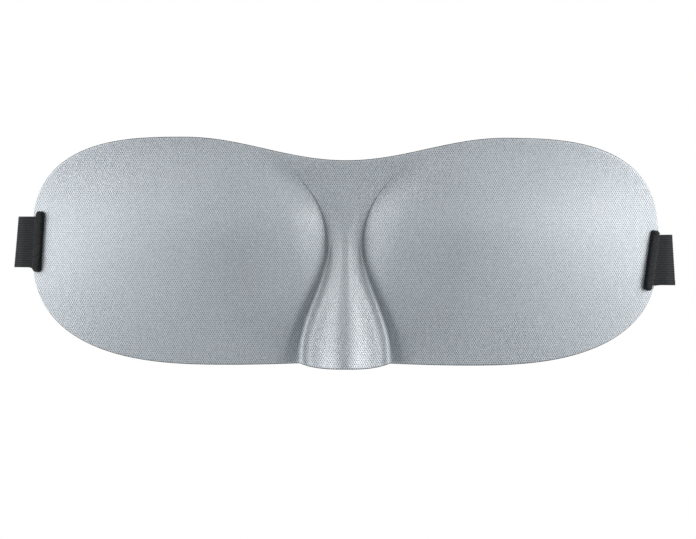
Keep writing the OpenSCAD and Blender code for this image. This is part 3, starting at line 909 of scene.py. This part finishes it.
def band_tree():
    """Sweeps a ribbed elastic band along a curve and stores its layout: along, and across."""
    points_per_rib = 13.0
    tree, given, end = new_group("ribbed_band", "GeometryNodeTree", [
        ("Geometry", "NodeSocketGeometry", None),
        ("Width", "NodeSocketFloat", 0.019),
        ("Thickness", "NodeSocketFloat", 0.0014),
        ("Rib Pitch", "NodeSocketFloat", 0.00086),
        ("Rib Depth", "NodeSocketFloat", 0.00013),
        ("Material", "NodeSocketMaterial", None),
    ], [("Geometry", "NodeSocketGeometry")])
    outline = add(tree, "GeometryNodeCurvePrimitiveQuadrilateral",
                  {"Width": given["Thickness"], "Height": given["Width"]}, mode="RECTANGLE")
    ribs = divided(tree, given["Width"], given["Rib Pitch"])
    count = times(tree, ribs, points_per_rib)
    fine = add(tree, "GeometryNodeResampleCurve", {"Curve": outline.outputs[0], "Count": count})
    place = split_position(tree)
    lane = divided(tree, place[1], given["Rib Pitch"])
    ridge = maths(tree, "ABSOLUTE", maths(tree, "COSINE", times(tree, lane, math.pi)))
    valley = minus(tree, 1.0, ridge)
    inward = times(tree, maths(tree, "SIGN", place[0]),
                   times(tree, valley, times(tree, given["Rib Depth"], -1.0)))
    ribbed = shifted(tree, fine.outputs[0], {0: inward})
    across = add(tree, "GeometryNodeCaptureAttribute", {"Geometry": ribbed})
    across.capture_items.new("FLOAT", "Across")
    tree.links.new(place[1], across.inputs[1])
    along = add(tree, "GeometryNodeCaptureAttribute", {"Geometry": given["Geometry"]})
    along.capture_items.new("FLOAT", "Along")
    tree.links.new(add(tree, "GeometryNodeSplineParameter").outputs["Length"], along.inputs[1])
    band = swept(tree, along.outputs[0], across.outputs[0])
    layout = add(tree, "ShaderNodeCombineXYZ", {0: along.outputs[1], 1: across.outputs[1]})
    stored = add(tree, "GeometryNodeStoreNamedAttribute", data_type="FLOAT_VECTOR", domain="POINT")
    tree.links.new(band, stored.inputs["Geometry"])
    stored.inputs["Name"].default_value = "strap_layout"
    tree.links.new(layout.outputs[0], socket(stored.inputs, "Value"))
    finish_tree(tree, stored.outputs[0], given["Material"], end)
    return tree


def tack_tree():
    """Lays two passes of zigzag thread over a pad, which is the geometry that comes in."""
    passes = ((1.0, 0.55, 3), (1.31, 1.0, 8))       # each pass's share of the pitch, its lift and its seed
    least_jitter, most_jitter = (-0.06, 0, -0.3), (0.05, 0, 0.3)
    end_power, end_draw = 12.0, 0.5                 # how late and how far the thread draws in at the ends
    dome_power = 3.0
    points_per_step = 7.0
    tree, given, end = new_group("zigzag_tack", "GeometryNodeTree", [
        ("Geometry", "NodeSocketGeometry", None),
        ("Height", "NodeSocketFloat", 0.023),
        ("Width", "NodeSocketFloat", 0.0036),
        ("Pitch", "NodeSocketFloat", 0.0005),
        ("Thread", "NodeSocketFloat", 0.0002),
        ("Crown", "NodeSocketFloat", 0.0004),
        ("Surface", "NodeSocketFloat", 0.001),
        ("Slant", "NodeSocketFloat", 0.0012),
        ("Material", "NodeSocketMaterial", None),
    ], [("Geometry", "NodeSocketGeometry")])
    joined = add(tree, "GeometryNodeJoinGeometry")
    half = times(tree, given["Height"], 0.5)
    tree.links.new(given["Geometry"], joined.inputs[0])
    for turn, (share, lift, seed) in enumerate(passes):
        line = add(tree, "GeometryNodeCurvePrimitiveLine", {
            "Start": add(tree, "ShaderNodeCombineXYZ", {2: times(tree, half, -1.0)}).outputs[0],
            "End": add(tree, "ShaderNodeCombineXYZ", {2: half}).outputs[0]})
        count = divided(tree, given["Height"], times(tree, given["Pitch"], 0.5 * share))
        steps = add(tree, "GeometryNodeResampleCurve", {"Curve": line.outputs[0], "Count": count})
        index = add(tree, "GeometryNodeInputIndex").outputs[0]
        odd = maths(tree, "MODULO", plus(tree, index, float(turn)), 2.0)
        swing = minus(tree, odd, 0.5)
        jitter = add(tree, "FunctionNodeRandomValue", {"Min": least_jitter, "Max": most_jitter, "Seed": seed},
                     data_type="FLOAT_VECTOR")
        loose = add(tree, "ShaderNodeSeparateXYZ", {0: socket(jitter.outputs, "Value")})
        level = split_position(tree)[2]
        near_end = maths(tree, "POWER", maths(tree, "ABSOLUTE", divided(tree, level, half)), end_power)
        inward = minus(tree, 1.0, times(tree, near_end, end_draw))
        reach = times(tree, times(tree, swing, inward), plus(tree, 1.0, loose.outputs[0]))
        stray = plus(tree, times(tree, swing, given["Slant"]), times(tree, loose.outputs[2], given["Pitch"]))
        rise = times(tree, minus(tree, 1.0, near_end), stray)
        zigzag = shifted(tree, steps.outputs[0], {0: times(tree, reach, given["Width"]), 2: rise})
        fine = add(tree, "GeometryNodeResampleCurve", {
            "Curve": zigzag, "Count": times(tree, count, points_per_step)})
        side = divided(tree, times(tree, split_position(tree)[0], 2.0), given["Width"])
        dome = minus(tree, 1.0, maths(tree, "POWER", maths(tree, "ABSOLUTE", side), dome_power))
        crown = times(tree, times(tree, dome, given["Crown"]), lift)
        arched = shifted(tree, fine.outputs[0], {1: times(tree, plus(tree, given["Surface"], crown), -1.0)})
        ring = add(tree, "GeometryNodeCurvePrimitiveCircle", {"Resolution": 6, "Radius": given["Thread"]},
                   mode="RADIUS")
        tree.links.new(swept(tree, arched, ring.outputs[0]), joined.inputs[0])
    finish_tree(tree, joined.outputs[0], given["Material"], end)
    return tree


def made_by(name, source, tree, values):
    """Runs a tree on an object and keeps the plain mesh under a name."""
    bpy.context.scene.collection.objects.link(source)
    modifier = source.modifiers.new("made", "NODES")
    modifier.node_group = tree
    sockets = {s.name: s.identifier for s in tree.interface.items_tree if s.in_out == "INPUT"}
    for label, value in values.items():
        modifier[sockets[label]] = value
    graph = bpy.context.evaluated_depsgraph_get()
    mesh = bpy.data.meshes.new_from_object(source.evaluated_get(graph))
    mesh.name = name
    bpy.data.objects.remove(source)
    piece = bpy.data.objects.new(name, mesh)
    bpy.context.scene.collection.objects.link(piece)
    return piece


# ---------------------------------------------------------------- straps

def lean_over(mesh, stations):
    """Shifts a band's upper edge along it by its stations' lean, and along X by their turn lean."""
    layout, co = np.empty(3 * len(mesh.vertices)), np.empty(3 * len(mesh.vertices))
    mesh.attributes["strap_layout"].data.foreach_get("vector", layout)
    mesh.vertices.foreach_get("co", co)
    along, co = layout[0::3], co.reshape(-1, 3)
    steps = np.diff(stations[:, :3], axis=0)
    reach = np.concatenate([[0], np.cumsum(np.linalg.norm(steps, axis=1))])
    tangents = np.gradient(stations[:, :2], reach, axis=0)
    height = co[:, 2] - np.interp(along, reach, stations[:, 2])
    lean, turn_lean = (np.interp(along, reach, stations[:, k]) for k in (3, 4))
    for axis in (0, 1):
        co[:, axis] += height * np.sin(lean) * np.interp(along, reach, tangents[:, axis])
    co[:, 0] += height * np.sin(turn_lean)
    co[:, 2] += height * (np.cos(lean) * np.cos(turn_lean) - 1)
    mesh.vertices.foreach_set("co", co.ravel())
    mesh.update()


def band_piece(name, stations, nodes):
    """A strap's stretch through stations, each (x, y, z, lean, turn lean)."""
    data = bpy.data.curves.new(name + "_route", "CURVE")
    data.dimensions = "3D"
    data.twist_mode = "Z_UP"
    spline = data.splines.new("POLY")
    spline.points.add(len(stations) - 1)
    for point, station in zip(spline.points, stations):
        point.co = (*station[:3], 1)
    source = bpy.data.objects.new(name + "_route", data)
    piece = made_by(name, source, BAND, {
        "Width": STRAP_W, "Thickness": STRAP_T, "Rib Pitch": RIB_PITCH, "Rib Depth": RIB_DEPTH,
        "Material": ELASTIC})
    if any(station[3] for station in stations):
        lean_over(piece.data, np.array(stations))
    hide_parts(*nodes)
    return piece


LAP_SINK = 0.8 * MM      # how far a tack pulls the strap's end down into the shell


def side_stations(route, side, start_z, lean=0.0, turn_lean=0.0):
    """Stations along a side's route, on either side of the mask."""
    stations = []
    for x, y in route:
        turned = float(smooth((y - LAP_Y) / (TURN_END_Y - LAP_Y)))
        gone = float(smooth((y - TURN_END_Y) / (LEAD_Y - TURN_END_Y)))
        pressed = LAP_SINK * (1 - float(smooth((y - LAP_Y) / (5 * MM))))
        stations.append((side * x, y + pressed, strap_height(y, start_z), side * lean * (1 - turned),
                         turn_lean * turned * (1 - gone)))
    return stations


def level_stations(points, gap=3 * MM):
    """Stations of a level stretch, with points added along its straight parts."""
    route = []
    for a, b in zip(points, points[1:]):
        steps = max(1, int(math.dist(a, b) / gap))
        route += [lerp(np.asarray(a), np.asarray(b), k / steps) for k in range(steps)]
    route.append(np.asarray(points[-1]))
    return [(p[0], p[1], BACK_Z, 0.0, 0.0) for p in route]


def build_sides():
    route = side_route()
    for strap, side, start_z, lean, turn_lean in (("long", -1, LEFT_Z, LEFT_LEAN, LEFT_TURN_LEAN),
                                                  ("short", 1, RIGHT_Z, RIGHT_LEAN, RIGHT_TURN_LEAN)):
        lead = [route[0]] + cut_route(route[1:], route[1][1], LEAD_Y)
        piece = band_piece(strap + "_elastic_lead", side_stations(lead, side, start_z, lean, turn_lean),
                           [strap + "_strap_lead"])
        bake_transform(piece)
        rest = cut_route(route, LEAD_Y, BACK_Y)
        piece = band_piece(strap + "_elastic_side", side_stations(rest, side, start_z),
                           [strap + "_strap_side"])
        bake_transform(piece)


RING_X = 46 * MM
RING_PITCH = 8 * MM
RING_D = 2.4 * MM
RING_PLAY = 2.4 * MM
FIT_GAP = 0.25 * MM
WRAP_GAP = 0.1 * MM
SLIDER_BAR_T = 1.6 * MM
SLIDER_X = -18 * MM
END_REACH = 9 * MM
SEAM_X = 13 * MM
TURN_BACK = 4 * MM
TAIL_BEND = 2.5 * MM         # how far from a sewn tail's end it bends
FINE_GAP = 1 * MM            # between the stations of a stretch that turns tightly

BEND_GAP = RING_D + RING_PLAY + STRAP_T
BEND_Y = BACK_Y - BEND_GAP
RING_Y = BACK_Y - BEND_GAP / 2
OUTER_RING_X = RING_X + RING_PITCH
LOOP_R = STRAP_T / 2 + WRAP_GAP + SLIDER_BAR_T / 2
SHORT_R = STRAP_T / 2 + FIT_GAP + RING_D / 2
BAR_Y = BACK_Y - STRAP_T - 0.3 * MM - LOOP_R
INNER_Y = BAR_Y - LOOP_R


def build_back():
    back = band_piece("long_elastic_back", level_stations(
        [(-BACK_X, BACK_Y), (RING_X - 1 * MM, BACK_Y)] + arc(RING_X, RING_Y, BEND_GAP / 2, 90, -90)
        + [(RING_X - TURN_BACK, BEND_Y)]), ["long_strap_back"])
    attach(back, "strap_back")
    turned = band_piece("long_elastic_return", level_stations(
        [(RING_X - TURN_BACK, BEND_Y), (SLIDER_X + SEAM_X, INNER_Y)]), ["long_strap_return"])
    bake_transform(turned)
    tail_y = INNER_Y + STRAP_T + WRAP_GAP
    tail = [(SLIDER_X + TAIL_BEND, BAR_Y + LOOP_R), (SLIDER_X + END_REACH - TAIL_BEND, tail_y),
            (SLIDER_X + END_REACH, tail_y)]
    loop = arc(SLIDER_X, BAR_Y, LOOP_R, -90, -270)
    end = band_piece("long_elastic_end", level_stations(
        [(SLIDER_X + SEAM_X, INNER_Y)] + loop + tail, FINE_GAP), ["long_strap_end"])
    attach(end, "slider_unit")
    tail_y = BACK_Y - STRAP_T - WRAP_GAP
    start = [(BACK_X, BACK_Y), (OUTER_RING_X + 9 * MM, BACK_Y), (OUTER_RING_X + 3 * MM, RING_Y + SHORT_R)]
    tail = [(OUTER_RING_X + 2 * MM, RING_Y - SHORT_R), (OUTER_RING_X + 8.5 * MM, tail_y),
            (OUTER_RING_X + 14 * MM, tail_y)]
    loop = arc(OUTER_RING_X, RING_Y, SHORT_R, 90, 270)
    short = band_piece("short_elastic_loop", level_stations(start + loop + tail, FINE_GAP),
                       ["short_strap_loop"])
    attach(short, "strap_back")


# ---------------------------------------------------------------- tacks

PAD_INSET = 0.3 * MM         # the pad under the threads is this much smaller than the tack
PAD_ROUND = 0.32             # its corners as a share of its width, and its edges as one of its depth
PAD_SOFT = 0.3
PAD_SINK = 0.25              # shares of a tack's rise: how deep its pad sits, and how much deeper it is
PAD_SHARE = 0.5


def rounded_slab(name, size, round_r, bevel):
    """A closed slab with round corners seen from its face and softened edges, centred on the origin."""
    mesh = bpy.data.meshes.new(name)
    shape = bmesh.new()
    bmesh.ops.create_cube(shape, size=1)
    bmesh.ops.scale(shape, vec=size, verts=shape.verts)
    deep = [e for e in shape.edges if abs(e.verts[0].co.y - e.verts[1].co.y) > size[1] / 2]
    bmesh.ops.bevel(shape, geom=deep, offset=round_r, segments=5, profile=0.5, affect="EDGES")
    rims = [e for e in shape.edges if abs(e.verts[0].co.y - e.verts[1].co.y) < size[1] / 2
            and e.calc_face_angle(0) > 1]
    bmesh.ops.bevel(shape, geom=rims, offset=bevel, segments=3, profile=0.5, affect="EDGES")
    shape.to_mesh(mesh)
    shape.free()
    return bpy.data.objects.new(name, mesh)


def tack_piece(name, node, body, width, height, pad, place, slant=2 * MM, crown=0.35 * MM):
    """A zigzag tack over a pad, moved to its place by a matrix."""
    source = rounded_slab(name + "_pad", (width - PAD_INSET, pad, height - PAD_INSET),
                          width * PAD_ROUND, pad * PAD_SOFT)
    piece = made_by(name, source, TACK, {
        "Height": height - slant, "Width": width, "Pitch": 0.8 * MM, "Thread": 0.24 * MM, "Crown": crown,
        "Surface": pad / 2, "Slant": slant, "Material": THREAD})
    piece.data.transform(place)
    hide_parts(node)
    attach(piece, body)


def build_tacks():
    width, over, rise = 3.8 * MM, 2 * MM, 0.7 * MM
    for name, side, start_z, lean in (("left_tack", -1, LEFT_Z, LEFT_LEAN),
                                      ("right_tack", 1, RIGHT_Z, RIGHT_LEAN)):
        middle = side * (width / 2 - 0.6 * MM)
        place = (Matrix.Translation((side * LAP_X, LAP_Y, start_z))
                 @ Matrix.Rotation(side * END_SLOPE, 4, "Z") @ Matrix.Rotation(lean, 4, "Y")
                 @ Matrix.Translation((middle, LAP_SINK - PAD_SINK * rise, 0)))
        tack_piece(name + "_thread", name, "mask", width, STRAP_W + 2 * over, STRAP_T + PAD_SHARE * rise,
                   place)
    for name, body in (("ring_tack", "strap_back"), ("slider_tack", "slider_unit")):
        low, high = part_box(name)
        size = high - low
        place = Matrix.Translation((low + high) / 2)
        tack_piece(name + "_thread", name, body, size.x, size.z, size.y, place,
                   slant=0.8 * MM, crown=0.1 * MM)


# ---------------------------------------------------------------- slider and ring

def moulded(name, node, body, edge):
    """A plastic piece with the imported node's shape and softened edges."""
    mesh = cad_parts[node].data.copy()
    shape = bmesh.new()
    shape.from_mesh(mesh)
    bmesh.ops.remove_doubles(shape, verts=shape.verts, dist=1e-6)
    bmesh.ops.dissolve_limit(shape, angle_limit=math.radians(2), verts=shape.verts, edges=shape.edges)
    shape.to_mesh(mesh)
    shape.free()
    mesh.materials.clear()
    mesh.materials.append(PLASTIC)
    piece = bpy.data.objects.new(name, mesh)
    bpy.context.scene.collection.objects.link(piece)
    bevel = piece.modifiers.new("soft_edges", "BEVEL")
    bevel.width = edge
    bevel.segments = 3
    bevel.limit_method = "ANGLE"
    bevel.angle_limit = math.radians(40)
    bevel.harden_normals = True
    mesh.polygons.foreach_set("use_smooth", [True] * len(mesh.polygons))
    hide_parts(node)
    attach(piece, body)


# ---------------------------------------------------------------- the whole mask

add_camera()
add_lights()
add_world()
add_floor()

CROSSED = cloth_group()
DRIFT = drift_group()
PICKS = rib_group()
SATIN = cloth_material(
    "silver_satin", (0.45, 0.49, 0.525), pitch=0.84 * MM, slant=0.58, unevenness=0.6, weave_shade=1.3,
    lift=0.03 * MM, rough=0.42, Sheen_Weight=0.3, Sheen_Roughness=0.3, Specular_IOR_Level=1.0)
LINING = cloth_material(
    "black_brushed_knit", (0.022, 0.0225, 0.025), pitch=0.9 * MM, slant=0.7, unevenness=0.9, weave_shade=0.7,
    lift=0.08 * MM, rough=0.85, Sheen_Weight=0.35, Sheen_Roughness=0.6, Specular_IOR_Level=0.25)
ELASTIC = elastic_material()
THREAD = thread_material()
FOAM = foam_material()
PLASTIC = plastic_material()
BAND = band_tree()
TACK = tack_tree()

build_shell()
build_flap()
build_sides()
build_back()
build_tacks()
moulded("strap_slider", "slider", "slider_unit", 0.3 * MM)
moulded("strap_ring_loop", "ring", "strap_ring", 0.15 * MM)
